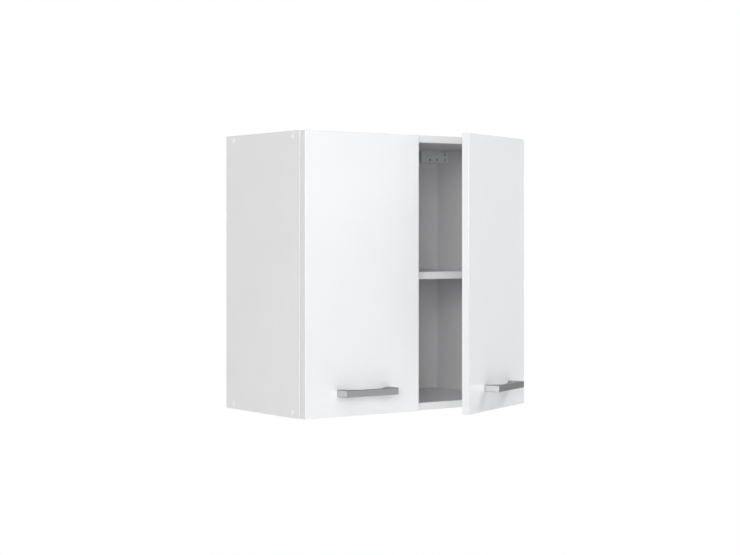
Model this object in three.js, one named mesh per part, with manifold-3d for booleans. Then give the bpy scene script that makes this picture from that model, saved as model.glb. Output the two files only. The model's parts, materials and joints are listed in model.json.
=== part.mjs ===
// A hanging wall cabinet with two hinged doors, one shelf and two concealed hangers.
// Millimetres, +Z up. The origin is the middle of the wall plane, +Y points into the wall,
// and the doors face -Y. The left door is shut and the right door stands partly open.
import * as THREE from "three";
import { mergeVertices } from "three/addons/utils/BufferGeometryUtils.js";
import Module from "manifold-3d";

const wasm = await Module();
wasm.setup();

// Carcass
const cabinetWidth = 600;
const cabinetHeight = 600;
const carcassDepth = 295;
const boardThickness = 16;
const boardEdgeRadius = 0.8;
const backThickness = 3;
const backRecess = 6;
const grooveDepth = 6;

// Shelf and its pins
const shelfTop = 1;
const shelfThickness = 16;
const shelfSetback = 20;
const shelfEndPlay = 0.5;
const pinRadius = 2.5;
const pinReach = 8;
const pinEmbed = 9;
const pinCollarRadius = 4;
const pinCollarThickness = 1.2;
const pinFrontInset = 37;
const pinRearInset = 60;

// Case screws and their caps
const screwFromEdge = 11.5;
const screwFrontInset = 27;
const screwRearInset = 32;
const screwHeadRadius = 4.8;
const screwHeadHeight = 3;
const screwNeckRadius = 3.4;
const screwThreadRadius = 2.5;
const screwLength = 50;
const driveRecessRadius = 2;
const driveRecessDepth = 2;
const capRadius = 5.6;
const capRimHeight = 0.5;
const capCrownHeight = 1.2;

// Doors
const doorThickness = 16;
const doorGap = 2;
const doorSideReveal = 2;
const doorEndReveal = 1;
const doorCentreGap = 5;
const doorEdgeRadius = 1;
const rightDoorOpenDegrees = 26;

// Handles
const handleLength = 136;
const handleHoleFromEnd = 4;
const handleProjection = 34;
const handleHeight = 14;
const handleBarThickness = 8;
const handleFootWidth = 9;
const handleSlopeRun = 33;
const handleBendRadius = 25;
const handleEdgeRadius = 0.8;
const handleFromDoorEnd = 50;
const handleScrewRadius = 2;
const handleScrewBite = 9;
const handleScrewHeadRadius = 4;
const handleScrewHeadHeight = 2.2;

// Hinges: a cup in the door, an arm on a plate on the side panel, and a pin inside the cup
const hingeFromDoorEnd = 95;
const cupRadius = 17.5;
const cupDepth = 12.5;
const cupWall = 0.8;
const cupFlangeRadius = 18.2;
const cupFlangeThickness = 0.8;
const cupFromDoorEdge = 3;
const cupWingReach = 30;
const cupWingHalfWidth = 6;
const cupWingOffset = 5;
const cupScrewSpacing = 48;
const cupScrewHoleRadius = 2;
const pivotInset = 6.4;
const pivotDepth = 9.8;
const hingePinRadius = 0.9;
const knuckleRadius = 1.7;
const armNoseHalfWidth = 4;
const armHalfWidth = 6.5;
const armSheet = 1.6;
const armNoseSheet = 1.4;
const armNoseRise = 0.1;
const armStandoff = 4.5;
const armNoseLength = 10;
const armLength = 60;
const armCheekSheet = 1.2;
const armCheekHeight = 2;
const armScrewHoleRadius = 2.6;
const armScrewFromFront = 16;
const armClampFromFront = 48;
const plateFromFront = 37;
const plateBlockLength = 42;
const plateBlockHalfWidth = 4.8;
const plateWingReach = 23;
const plateWingHalfLength = 6;
const plateWingThickness = 2;
const plateHoleSpacing = 32;
const plateHoleRadius = 2.6;

// Door bumpers
const bumperRadius = 5;
const bumperFromFreeEdge = 12;

// Hangers in the upper rear corners
const hangerWidth = 62;
const hangerHeight = 30;
const hangerDepth = 20;
const hangerSheet = 1.5;
const hangerAccessRadius = 3;
const hangerAccessFromSide = 16;
const hangerAccessSpacing = 21;
const hangerAccessDrop = 22.5;
const hangerFlangeLength = 21;
const hangerFlangeDrop = 5;
const hangerFlangeHeight = 23;
const hangerFlangeThickness = 2;
const hangerFlangeScrewInset = 14;
const hangerFlangeScrewDrop = 4.5;
const hangerFlangeScrewSpacing = 13.5;
const hangerFlangeHoleRadius = 2.2;
const hookPlateWidth = 40;
const hookPlateHeight = 16;
const hookPlateThickness = 2;
const hookArmWidth = 20;
const hookArmHeight = 12;
const hookArmTopDrop = 10;
const hookToothThickness = 2.5;
const hookToothLength = 15;
const hookToWall = 1;
const hookTravel = 4;
const hookSlotMargin = 2;

// Fits shared by the pieces
const seatGap = 0.3;
const cutOverrun = 1;
const weldDistance = 0.001;

// Counts of facets on round pieces
const holeFacets = 12;
const capFacets = 24;
const cupFacets = 28;
const edgeFacets = 2;
const bendFacets = 6;

// Places that several pieces share
const halfWidth = cabinetWidth / 2;
const halfHeight = cabinetHeight / 2;
const carcassFront = -carcassDepth;
const innerHalfWidth = halfWidth - boardThickness;
const innerHalfHeight = halfHeight - boardThickness;
const backRear = -backRecess;
const backFront = backRear - backThickness;
const doorWidth = halfWidth - doorSideReveal - doorCentreGap / 2;
const doorHeight = cabinetHeight - 2 * doorEndReveal;
const cupCentreInset = cupFromDoorEdge + cupRadius;
const handleCentreHeight = handleFromDoorEnd - doorHeight / 2;
const handleHoleSpacing = handleLength - 2 * handleHoleFromEnd;
const sides = [
  { name: "left", sign: -1, openDegrees: 0 },
  { name: "right", sign: 1, openDegrees: rightDoorOpenDegrees },
];
const ends = [
  { name: "upper", sign: 1 },
  { name: "lower", sign: -1 },
];

// Materials
const finish = (color, roughness, metalness) =>
  new THREE.MeshStandardMaterial({ color, roughness, metalness });
const boardWhite = finish(0xeeeff1, 0.45, 0);
const glossWhite = finish(0xf3f4f6, 0.12, 0);
const backWhite = finish(0xe6e7e9, 0.6, 0);
const capWhite = finish(0xf7f7f7, 0.4, 0);
const handleGrey = finish(0x97999b, 0.35, 0.8);
const nickel = finish(0xb9bbbd, 0.3, 0.9);
const zincSteel = finish(0xa3a6aa, 0.4, 0.85);
const clearRubber = finish(0xd9dcdc, 0.5, 0);

const root = new THREE.Group();

// Turns a closed geometry into a solid whose shared corners are merged.
function toSolid(geometry) {
  const bare = geometry.index ? geometry.toNonIndexed() : geometry.clone();
  bare.deleteAttribute("normal");
  bare.deleteAttribute("uv");
  const merged = mergeVertices(bare, weldDistance);
  return new wasm.Manifold(
    new wasm.Mesh({
      numProp: 3,
      vertProperties: merged.getAttribute("position").array,
      triVerts: new Uint32Array(merged.index.array),
    }),
  );
}

// Turns a solid back into a geometry with flat faces.
function toGeometry(solid) {
  const mesh = solid.getMesh();
  const geometry = new THREE.BufferGeometry();
  geometry.setAttribute("position", new THREE.BufferAttribute(new Float32Array(mesh.vertProperties), 3));
  geometry.setIndex(new THREE.BufferAttribute(new Uint32Array(mesh.triVerts), 1));
  const flat = geometry.toNonIndexed();
  flat.computeVertexNormals();
  return flat;
}

const cut = (body, tools) => tools.reduce((left, tool) => left.subtract(tool), body);
const join = (solids) => solids.reduce((all, solid) => all.add(solid));

function addPiece(name, shape, material, parent = root) {
  const mesh = new THREE.Mesh(shape.isBufferGeometry ? shape : toGeometry(shape), material);
  mesh.name = name;
  parent.add(mesh);
  return mesh;
}

// A block between two opposite corners, given in any order.
function block(from, to) {
  const size = from.map((value, i) => Math.abs(to[i] - value));
  const middle = from.map((value, i) => (to[i] + value) / 2);
  return toSolid(new THREE.BoxGeometry(...size).translate(...middle));
}

// A round bar along one axis, from one value to another on it, through a point.
function rod(axis, radius, from, to, through, facets = holeFacets) {
  const geometry = new THREE.CylinderGeometry(radius, radius, Math.abs(to - from), facets);
  if (axis === 0) geometry.rotateZ(Math.PI / 2);
  if (axis === 2) geometry.rotateX(Math.PI / 2);
  const middle = [...through];
  middle[axis] = (from + to) / 2;
  return toSolid(geometry.translate(...middle));
}

// A solid of revolution about a line along X or Y: points are [radius, distance], towards the given
// sign, and run from the axis at the near end, round the outside, to the axis at the far end.
function turned(axis, sign, points, at, facets = holeFacets) {
  const geometry = new THREE.LatheGeometry(points.map(([r, d]) => new THREE.Vector2(r, d)), facets);
  if (axis === 0) geometry.rotateZ((-sign * Math.PI) / 2);
  if (axis === 1 && sign < 0) geometry.rotateX(Math.PI);
  return toSolid(geometry.translate(...at));
}

// A shape drawn in X and Y, drawn out along Z.
function drawnUp(shape, low, high) {
  const settings = { depth: high - low, bevelEnabled: false, curveSegments: edgeFacets };
  return toSolid(new THREE.ExtrudeGeometry(shape, settings).translate(0, 0, low));
}

// The outline of a board seen on its edge: square at the rear and rounded at both front corners.
function boardOutline(thickness, rear, front) {
  const shape = new THREE.Shape();
  const half = thickness / 2;
  const r = boardEdgeRadius;
  shape.moveTo(half, rear);
  shape.lineTo(-half, rear);
  shape.lineTo(-half, front + r);
  shape.absarc(-half + r, front + r, r, Math.PI, 1.5 * Math.PI);
  shape.lineTo(half - r, front);
  shape.absarc(half - r, front + r, r, 1.5 * Math.PI, 2 * Math.PI);
  shape.closePath();
  return shape;
}

// A board that lies flat between the side panels.
function flatBoard(thickness, length, rear, front, middleHeight) {
  const outline = boardOutline(thickness, rear, front);
  const settings = { depth: length, bevelEnabled: false, curveSegments: edgeFacets };
  const geometry = new THREE.ExtrudeGeometry(outline, settings);
  geometry.translate(0, 0, -length / 2).rotateY(Math.PI / 2).translate(0, 0, middleHeight);
  return toSolid(geometry);
}

// Places of the case screws: two through each end of the top and bottom boards.
function caseScrewPlaces() {
  const places = [];
  for (const end of ends) {
    const z = end.sign * (halfHeight - screwFromEdge);
    places.push({ name: `${end.name}_front`, y: carcassFront + screwFrontInset, z });
    places.push({ name: `${end.name}_rear`, y: -screwRearInset, z });
  }
  return places;
}

// Places of the shelf pins on each side panel.
function shelfPinPlaces() {
  const z = shelfTop - shelfThickness - seatGap - pinRadius;
  return [
    { name: "front", y: carcassFront + pinFrontInset, z },
    { name: "rear", y: -pinRearInset, z },
  ];
}

// The groove that the back panel sits in, as one block to cut from the boards around it.
function backGroove() {
  const reach = grooveDepth + seatGap;
  return block(
    [-innerHalfWidth - reach, backFront - seatGap, -innerHalfHeight - reach],
    [innerHalfWidth + reach, backRear + seatGap, innerHalfHeight + reach],
  );
}

function addSidePanel(side) {
  const outer = side.sign * halfWidth;
  const inner = side.sign * innerHalfWidth;
  const outline = boardOutline(boardThickness, 0, carcassFront);
  let panel = drawnUp(outline, -halfHeight, halfHeight).translate([(outer + inner) / 2, 0, 0]);
  const beyond = outer + side.sign * cutOverrun;
  const before = inner - side.sign * cutOverrun;
  const holes = [backGroove()];
  for (const place of caseScrewPlaces()) {
    const sink = outer - side.sign * (screwHeadHeight + seatGap);
    holes.push(rod(0, screwNeckRadius + seatGap, before, beyond, [0, place.y, place.z]));
    holes.push(rod(0, screwHeadRadius + seatGap, sink, beyond, [0, place.y, place.z]));
  }
  for (const place of shelfPinPlaces()) {
    const bottom = inner + side.sign * (pinEmbed + seatGap);
    holes.push(rod(0, pinRadius + seatGap, before, bottom, [0, place.y, place.z]));
  }
  panel = cut(panel, holes);
  addPiece(`${side.name}_side_panel`, panel, boardWhite);
}

function addTopOrBottom(end, name) {
  const middle = end.sign * (halfHeight - boardThickness / 2);
  const board = flatBoard(boardThickness, 2 * innerHalfWidth, 0, carcassFront, middle);
  const tools = [backGroove()];
  const holeEnd = halfWidth - screwLength - seatGap;
  for (const side of sides) {
    for (const place of caseScrewPlaces().filter((entry) => entry.z * end.sign > 0)) {
      const outside = side.sign * (innerHalfWidth + cutOverrun);
      tools.push(rod(0, screwThreadRadius + seatGap, side.sign * holeEnd, outside, [0, place.y, place.z]));
    }
  }
  addPiece(name, cut(board, tools), boardWhite);
}

// The back panel has a slot in each upper corner, where the hanger's hook comes through.
function addBackPanel() {
  const halfX = innerHalfWidth + grooveDepth;
  const halfZ = innerHalfHeight + grooveDepth;
  const panel = block([-halfX, backFront, -halfZ], [halfX, backRear, halfZ]);
  const slots = sides.map((side) => {
    const middle = side.sign * hookMiddle();
    const reach = hookArmWidth / 2 + hookSlotMargin;
    const top = hookArmTop() + hookTravel + hookSlotMargin;
    const bottom = hookArmTop() - hookArmHeight - hookTravel - hookSlotMargin;
    return block(
      [middle - reach, backFront - cutOverrun, bottom],
      [middle + reach, backRear + cutOverrun, top],
    );
  });
  addPiece("back_panel", cut(panel, slots), backWhite);
}

function addShelf() {
  const length = 2 * (innerHalfWidth - shelfEndPlay);
  const middle = shelfTop - shelfThickness / 2;
  const rear = backFront - shelfEndPlay;
  const front = carcassFront + shelfSetback;
  addPiece("shelf", flatBoard(shelfThickness, length, rear, front, middle), boardWhite);
}

function addShelfPins(side) {
  for (const place of shelfPinPlaces()) {
    const inner = side.sign * innerHalfWidth;
    const points = [
      [0, -pinEmbed],
      [pinRadius, -pinEmbed],
      [pinRadius, 0],
      [pinRadius, pinReach],
      [0, pinReach],
    ];
    const peg = turned(0, -side.sign, points, [inner, place.y, place.z]);
    const collarTop = place.z + pinRadius;
    const collar = rod(
      0,
      pinCollarRadius,
      inner - side.sign * seatGap,
      inner - side.sign * (seatGap + pinCollarThickness),
      [0, place.y, place.z],
    );
    const clear = block(
      [inner - side.sign * pinReach, place.y - pinCollarRadius, collarTop],
      [inner, place.y + pinCollarRadius, collarTop + pinCollarRadius],
    );
    addPiece(`${side.name}_${place.name}_shelf_pin`, cut(join([peg, collar]), [clear]), nickel);
  }
}

function addCaseScrews(side) {
  const outer = side.sign * halfWidth;
  for (const place of caseScrewPlaces()) {
    const head = seatGap;
    const points = [
      [0, head + driveRecessDepth],
      [driveRecessRadius, head + driveRecessDepth],
      [driveRecessRadius, head],
      [screwHeadRadius, head],
      [screwHeadRadius, screwHeadHeight],
      [screwNeckRadius, screwHeadHeight],
      [screwNeckRadius, boardThickness - seatGap],
      [screwThreadRadius, boardThickness - seatGap],
      [screwThreadRadius, screwLength],
      [0, screwLength],
    ];
    const screw = turned(0, -side.sign, points, [outer, place.y, place.z]);
    addPiece(`${side.name}_${place.name}_case_screw`, screw, zincSteel);
    const capPoints = [
      [0, 0],
      [capRadius, 0],
      [capRadius, capRimHeight],
      [capRadius - capRimHeight, capCrownHeight - capRimHeight / 2],
      [capRadius / 2, capCrownHeight],
      [0, capCrownHeight],
    ];
    const cap = turned(0, side.sign, capPoints, [outer, place.y, place.z], capFacets);
    addPiece(`${side.name}_${place.name}_screw_cap`, cap, capWhite);
  }
}

// The pivot of a door, where both of its hinge pins stand one above the other.
function pivotOf(side) {
  const x = side.sign * (halfWidth - doorSideReveal - pivotInset);
  return new THREE.Vector3(x, carcassFront - doorGap - pivotDepth, 0);
}

// Measures on a door start at its outer rear edge: inward along its width, forward through it.
const doorX = (side, inward) => side.sign * (pivotInset - inward);
const doorY = (forward) => pivotDepth - forward;

const hingeHeights = () =>
  ends.map((end) => ({ name: end.name, z: end.sign * (doorHeight / 2 - hingeFromDoorEnd) }));

const handleScrewInsets = [(doorWidth - handleHoleSpacing) / 2, (doorWidth + handleHoleSpacing) / 2];

// A door leaf: a bevelled slab with pockets for the cups and holes for the handle's screws.
function addDoorLeaf(side, group) {
  const r = doorEdgeRadius;
  const outline = new THREE.Shape();
  const low = Math.min(doorX(side, 0), doorX(side, doorWidth)) + r;
  const high = low + doorWidth - 2 * r;
  const top = doorHeight / 2 - r;
  outline.moveTo(low, -top);
  outline.lineTo(high, -top);
  outline.lineTo(high, top);
  outline.lineTo(low, top);
  outline.closePath();
  const geometry = new THREE.ExtrudeGeometry(outline, {
    depth: doorThickness - 2 * r,
    bevelThickness: r,
    bevelSize: r,
    bevelSegments: edgeFacets,
  });
  geometry.translate(0, 0, r).rotateX(Math.PI / 2).translate(0, doorY(0), 0);
  const pockets = hingeHeights().map((hinge) =>
    rod(
      1,
      cupRadius + seatGap,
      doorY(-cutOverrun),
      doorY(cupDepth + seatGap),
      [doorX(side, cupCentreInset), 0, hinge.z],
      cupFacets,
    ),
  );
  const holes = handleScrewInsets.map((inset) =>
    rod(
      1,
      handleScrewRadius + seatGap,
      doorY(-cutOverrun),
      doorY(doorThickness + cutOverrun),
      [doorX(side, inset), 0, handleCentreHeight],
    ),
  );
  addPiece(`${side.name}_door_leaf`, cut(toSolid(geometry), [...pockets, ...holes]), glossWhite, group);
}

// The handle's outline seen from above: a straight bar between two feet, whose inner sides slope
// down to the bar and run into it in a bend.
function handleOutline() {
  const half = handleLength / 2 - handleEdgeRadius;
  const foot = handleLength / 2 - handleFootWidth + handleEdgeRadius;
  const front = -handleProjection + handleEdgeRadius;
  const rear = -handleEdgeRadius;
  const barRear = -handleProjection + handleBarThickness - handleEdgeRadius;
  const slope = Math.atan2(rear - barRear, handleSlopeRun);
  const bendEnd = foot - handleSlopeRun - handleBendRadius * Math.tan(slope / 2);
  const bendMiddle = barRear + handleBendRadius;
  const down = -Math.PI / 2;
  const shape = new THREE.Shape();
  shape.moveTo(-half, rear);
  shape.lineTo(-half, front);
  shape.lineTo(half, front);
  shape.lineTo(half, rear);
  shape.lineTo(foot, rear);
  shape.absarc(bendEnd, bendMiddle, handleBendRadius, down + slope, down, true);
  shape.absarc(-bendEnd, bendMiddle, handleBendRadius, down, down - slope, true);
  shape.lineTo(-foot, rear);
  shape.closePath();
  return shape;
}

function addHandle(side, group) {
  const r = handleEdgeRadius;
  const geometry = new THREE.ExtrudeGeometry(handleOutline(), {
    depth: handleHeight - 2 * r,
    bevelThickness: r,
    bevelSize: r,
    bevelSegments: edgeFacets,
    curveSegments: bendFacets,
  });
  const middleX = doorX(side, doorWidth / 2);
  const seat = doorY(doorThickness + seatGap);
  geometry.translate(middleX, seat, handleCentreHeight - handleHeight / 2 + r);
  const bores = handleScrewInsets.map((inset) =>
    rod(
      1,
      handleScrewRadius + seatGap,
      seat + cutOverrun,
      seat - handleScrewBite - seatGap,
      [doorX(side, inset), 0, handleCentreHeight],
    ),
  );
  addPiece(`${side.name}_handle`, cut(toSolid(geometry), bores), handleGrey, group);
  handleScrewInsets.forEach((inset, i) => {
    const points = [
      [0, -seatGap - handleScrewHeadHeight / 2],
      [driveRecessRadius, -seatGap - handleScrewHeadHeight / 2],
      [driveRecessRadius, -seatGap - handleScrewHeadHeight],
      [handleScrewHeadRadius - driveRecessRadius / 2, -seatGap - handleScrewHeadHeight],
      [handleScrewHeadRadius, -seatGap - handleScrewHeadHeight / 2],
      [handleScrewHeadRadius, -seatGap],
      [handleScrewRadius, -seatGap],
      [handleScrewRadius, doorThickness + handleScrewBite],
      [0, doorThickness + handleScrewBite],
    ];
    const screw = turned(1, -1, points, [doorX(side, inset), doorY(0), handleCentreHeight]);
    const place = i === 0 ? "outer" : "inner";
    addPiece(`${side.name}_handle_${place}_screw`, screw, zincSteel, group);
  });
}

// A hinge cup: a round bowl sunk in the door, with a flange and a screw wing above and below.
function addCup(side, hinge, group) {
  const hollow = cupRadius - cupWall;
  const flangeFront = -seatGap;
  const flangeRear = flangeFront - cupFlangeThickness;
  const points = [
    [0, cupDepth - cupWall],
    [hollow, cupDepth - cupWall],
    [hollow, flangeRear],
    [cupFlangeRadius, flangeRear],
    [cupFlangeRadius, flangeFront],
    [cupRadius, flangeFront],
    [cupRadius, cupDepth],
    [0, cupDepth],
  ];
  const x = doorX(side, cupCentreInset);
  const bowl = turned(1, -1, points, [x, doorY(0), hinge.z], cupFacets);
  const wingMiddle = doorX(side, cupCentreInset + cupWingOffset);
  const wings = ends.map((end) =>
    block(
      [wingMiddle - cupWingHalfWidth, doorY(flangeRear), hinge.z + end.sign * (hollow - cupWall)],
      [wingMiddle + cupWingHalfWidth, doorY(flangeFront), hinge.z + end.sign * cupWingReach],
    ),
  );
  const mouth = rod(1, hollow, doorY(flangeRear - cutOverrun), doorY(0), [x, 0, hinge.z], cupFacets);
  const holes = ends.map((end) =>
    rod(
      1,
      cupScrewHoleRadius,
      doorY(flangeRear - cutOverrun),
      doorY(cutOverrun),
      [wingMiddle, 0, hinge.z + (end.sign * cupScrewSpacing) / 2],
    ),
  );
  const wingSolid = cut(join(wings), [mouth, ...holes]);
  addPiece(`${side.name}_${hinge.name}_hinge_cup`, join([bowl, wingSolid]), nickel, group);
}

// The pin stands in the cup, between the cup's walls, on the door's pivot line.
function addHingePin(side, hinge, group) {
  const hollow = cupRadius - cupWall;
  const fromCentre = cupCentreInset - pivotInset + hingePinRadius;
  const half = Math.sqrt(hollow * hollow - fromCentre * fromCentre) - seatGap;
  const pin = rod(2, hingePinRadius, hinge.z - half, hinge.z + half, [0, 0, 0]);
  addPiece(`${side.name}_${hinge.name}_hinge_pin`, pin, zincSteel, group);
}

// The arm turns out of the cup on a bent nose, then runs back as a channel over the plate.
function addHingeArm(side, hinge, group) {
  const panelFace = boardThickness - doorSideReveal;
  const webOuter = panelFace + armStandoff;
  const webInner = webOuter + armSheet;
  const noseLow = pivotDepth + armNoseRise;
  const noseHigh = noseLow + armNoseSheet;
  const channelFront = -doorGap - armNoseLength;
  const channelRear = channelFront - armLength;
  const bar = (inA, inB, fwdA, fwdB, low, high) =>
    block(
      [doorX(side, inA), doorY(fwdA), hinge.z + low],
      [doorX(side, inB), doorY(fwdB), hinge.z + high],
    );
  const w = armNoseHalfWidth;
  const nose = bar(pivotInset, webInner, noseLow, noseHigh, -w, w);
  const leg = bar(webOuter, webInner, channelFront - armSheet, noseHigh, -w, w);
  const knuckle = rod(2, knuckleRadius, hinge.z - w, hinge.z + w, [0, 0, 0]);
  const beyond = w + cutOverrun;
  const eye = rod(2, hingePinRadius + seatGap, hinge.z - beyond, hinge.z + beyond, [0, 0, 0]);
  const web = bar(webOuter, webInner, channelRear, channelFront, -armHalfWidth, armHalfWidth);
  const cheeks = ends.map((end) => {
    const outerZ = end.sign * armHalfWidth;
    const innerZ = end.sign * (armHalfWidth - armCheekSheet);
    return bar(webOuter - armCheekHeight, webInner, channelRear, channelFront, innerZ, outerZ);
  });
  const holes = [armScrewFromFront, armClampFromFront].map((back) =>
    rod(
      0,
      armScrewHoleRadius,
      doorX(side, webOuter - cutOverrun),
      doorX(side, webInner + cutOverrun),
      [0, doorY(channelFront - back), hinge.z],
    ),
  );
  const arm = cut(join([nose, leg, knuckle, web, ...cheeks]), [eye, ...holes]);
  addPiece(`${side.name}_${hinge.name}_hinge_arm`, arm, nickel, group);
}

// The mounting plate: a block under the arm with a screw wing above and below.
function addHingePlate(side, hinge, group) {
  const panelFace = boardThickness - doorSideReveal;
  const middle = -doorGap - plateFromFront;
  const blockTop = panelFace + armStandoff - seatGap;
  const wingTop = panelFace + plateWingThickness;
  const core = block(
    [doorX(side, panelFace), doorY(middle - plateBlockLength / 2), hinge.z - plateBlockHalfWidth],
    [doorX(side, blockTop), doorY(middle + plateBlockLength / 2), hinge.z + plateBlockHalfWidth],
  );
  const wing = block(
    [doorX(side, panelFace), doorY(middle - plateWingHalfLength), hinge.z - plateWingReach],
    [doorX(side, wingTop), doorY(middle + plateWingHalfLength), hinge.z + plateWingReach],
  );
  const holes = ends.map((end) =>
    rod(
      0,
      plateHoleRadius,
      doorX(side, panelFace - cutOverrun),
      doorX(side, blockTop),
      [0, doorY(middle), hinge.z + (end.sign * plateHoleSpacing) / 2],
    ),
  );
  addPiece(`${side.name}_${hinge.name}_hinge_plate`, cut(join([core, wing]), holes), nickel, group);
}

function addBumpers(side, group) {
  for (const end of ends) {
    const z = end.sign * (halfHeight - boardThickness / 2);
    const x = doorX(side, doorWidth - bumperFromFreeEdge);
    const bumper = rod(1, bumperRadius, doorY(-seatGap), doorY(-doorGap + seatGap), [x, 0, z]);
    addPiece(`${side.name}_${end.name}_door_bumper`, bumper, clearRubber, group);
  }
}

// Places on a hanger, which sits under the top board against the side panel and the back panel.
const hookMiddle = () => innerHalfWidth - hangerAccessFromSide - hangerAccessSpacing;
const hookArmTop = () => innerHalfHeight - hookArmTopDrop;
const hangerFront = backFront - hangerDepth;

function addHangerCase(side) {
  const inner = innerHalfWidth;
  const top = innerHalfHeight;
  const s = side.sign;
  const shell = block(
    [s * inner, hangerFront, top],
    [s * (inner - hangerWidth), backFront - seatGap, top - hangerHeight],
  );
  const room = block(
    [s * (inner - hangerSheet), hangerFront + hangerSheet, top - hangerSheet],
    [s * (inner - hangerWidth + hangerSheet), backFront + cutOverrun, top - hangerHeight + hangerSheet],
  );
  const flangeTop = top - hangerFlangeDrop;
  const flange = block(
    [s * inner, hangerFront + hangerSheet, flangeTop],
    [s * (inner - hangerFlangeThickness), hangerFront - hangerFlangeLength, flangeTop - hangerFlangeHeight],
  );
  const access = [0, hangerAccessSpacing].map((step) =>
    rod(
      1,
      hangerAccessRadius,
      hangerFront - cutOverrun,
      hangerFront + hangerSheet + cutOverrun,
      [s * (inner - hangerAccessFromSide - step), 0, top - hangerAccessDrop],
    ),
  );
  const flangeHoles = [0, hangerFlangeScrewSpacing].map((step) =>
    rod(
      0,
      hangerFlangeHoleRadius,
      s * (inner + cutOverrun),
      s * (inner - hangerFlangeThickness - cutOverrun),
      [0, hangerFront - hangerFlangeScrewInset, flangeTop - hangerFlangeScrewDrop - step],
    ),
  );
  const body = join([cut(shell, [room]), flange]);
  addPiece(`${side.name}_hanger_case`, cut(body, [...access, ...flangeHoles]), zincSteel);
}

// The hook: a plate that slides behind the case's front wall, an arm through the back panel, and a tooth.
function addHangerHook(side) {
  const s = side.sign;
  const middle = s * hookMiddle();
  const plateFront = hangerFront + hangerSheet + seatGap;
  const armTop = hookArmTop();
  const armBottom = armTop - hookArmHeight;
  const plateTop = (armTop + armBottom + hookPlateHeight) / 2;
  const half = hookArmWidth / 2;
  const plate = block(
    [middle - hookPlateWidth / 2, plateFront, plateTop - hookPlateHeight],
    [middle + hookPlateWidth / 2, plateFront + hookPlateThickness, plateTop],
  );
  const arm = block([middle - half, plateFront, armBottom], [middle + half, -hookToWall, armTop]);
  const tooth = block(
    [middle - half, -hookToWall - hookToothThickness, armTop - hookArmHeight - hookToothLength],
    [middle + half, -hookToWall, armTop],
  );
  addPiece(`${side.name}_hanger_hook`, join([plate, arm, tooth]), zincSteel);
}

for (const side of sides) {
  addSidePanel(side);
}
addTopOrBottom(ends[0], "top_board");
addTopOrBottom(ends[1], "bottom_board");
addBackPanel();
addShelf();

for (const side of sides) {
  addShelfPins(side);
  addCaseScrews(side);
  addHangerCase(side);
  addHangerHook(side);

  const fixed = new THREE.Group();
  fixed.position.copy(pivotOf(side));
  root.add(fixed);

  const door = new THREE.Group();
  door.position.copy(pivotOf(side));
  door.rotation.z = side.sign * THREE.MathUtils.degToRad(side.openDegrees);
  root.add(door);

  addDoorLeaf(side, door);
  addHandle(side, door);
  addBumpers(side, door);
  for (const hinge of hingeHeights()) {
    addCup(side, hinge, door);
    addHingePin(side, hinge, door);
    addHingeArm(side, hinge, fixed);
    addHingePlate(side, hinge, fixed);
  }
}

export default root;
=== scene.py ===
"""A white hanging wall cabinet: its finishes, its fine metal work, soft studio light and the camera.

Lengths are metres. The origin is the middle of the wall plane, +Y points into the wall, the doors
face -Y and +Z is up. A side is -1 for left and 1 for right. Door pieces are built for a shut door
and then turned with it, so both doors share the same measures.
"""
import json
import math

import bmesh
import bpy
from mathutils import Matrix, Vector


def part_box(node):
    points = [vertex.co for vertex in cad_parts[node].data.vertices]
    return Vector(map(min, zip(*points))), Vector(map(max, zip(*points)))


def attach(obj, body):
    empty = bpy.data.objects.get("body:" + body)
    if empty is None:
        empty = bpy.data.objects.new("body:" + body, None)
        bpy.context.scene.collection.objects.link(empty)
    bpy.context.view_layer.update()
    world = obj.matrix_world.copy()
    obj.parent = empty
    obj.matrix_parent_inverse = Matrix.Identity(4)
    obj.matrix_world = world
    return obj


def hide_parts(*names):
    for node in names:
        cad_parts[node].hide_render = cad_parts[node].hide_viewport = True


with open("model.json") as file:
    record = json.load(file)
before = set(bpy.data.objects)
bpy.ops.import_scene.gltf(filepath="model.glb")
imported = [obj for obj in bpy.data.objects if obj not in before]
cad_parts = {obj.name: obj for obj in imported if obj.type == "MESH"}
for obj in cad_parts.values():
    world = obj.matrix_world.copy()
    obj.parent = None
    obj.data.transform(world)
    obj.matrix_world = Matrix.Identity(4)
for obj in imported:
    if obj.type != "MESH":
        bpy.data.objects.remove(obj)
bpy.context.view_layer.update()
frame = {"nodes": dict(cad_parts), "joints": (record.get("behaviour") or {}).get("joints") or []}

SIDES = {"left": -1, "right": 1}
ENDS = {"upper": 1, "lower": -1}

# Boards
BAND_RADIUS = 0.0008
BAND_THICKNESS = 0.0008
BAND_SEAM_HALF_WIDTH = 0.0001
GROOVE_DEPTH = 0.0063
SEAT_GAP = 0.0003
NEAR_PLANE = 0.0002
CUT_OVERRUN = 0.001
SCREW_HEAD_SINK = 0.0033
SCREW_HEAD_HOLE = 0.0051
SCREW_NECK_HOLE = 0.0037
SCREW_THREAD_HOLE = 0.0028
SCREW_HOLE_DEPTH = 0.0343
PIN_HOLE_RADIUS = 0.0028
PIN_HOLE_DEPTH = 0.0093

# Doors
DOOR_EDGE_RADIUS = 0.0012
DOOR_REAR_EDGE_RADIUS = 0.0004
DOOR_SEAM_HALF_WIDTH = 0.0009
DOOR_SEAM_FROM_FRONT = 0.00135
CUP_POCKET_RADIUS = 0.0178
CUP_POCKET_DEPTH = 0.0128
HANDLE_SCREW_HOLE = 0.0023
BUMPER_EDGE_SHARE = 0.6

# Handles
HANDLE_BAR = 0.008
HANDLE_FOOT = 0.009
HANDLE_SLOPE_RUN = 0.033
HANDLE_BEND_RADIUS = 0.025
HANDLE_EDGE_RADIUS = 0.0009
HANDLE_HOLE_FROM_END = 0.004
HANDLE_BORE_DEPTH = 0.0093

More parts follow.
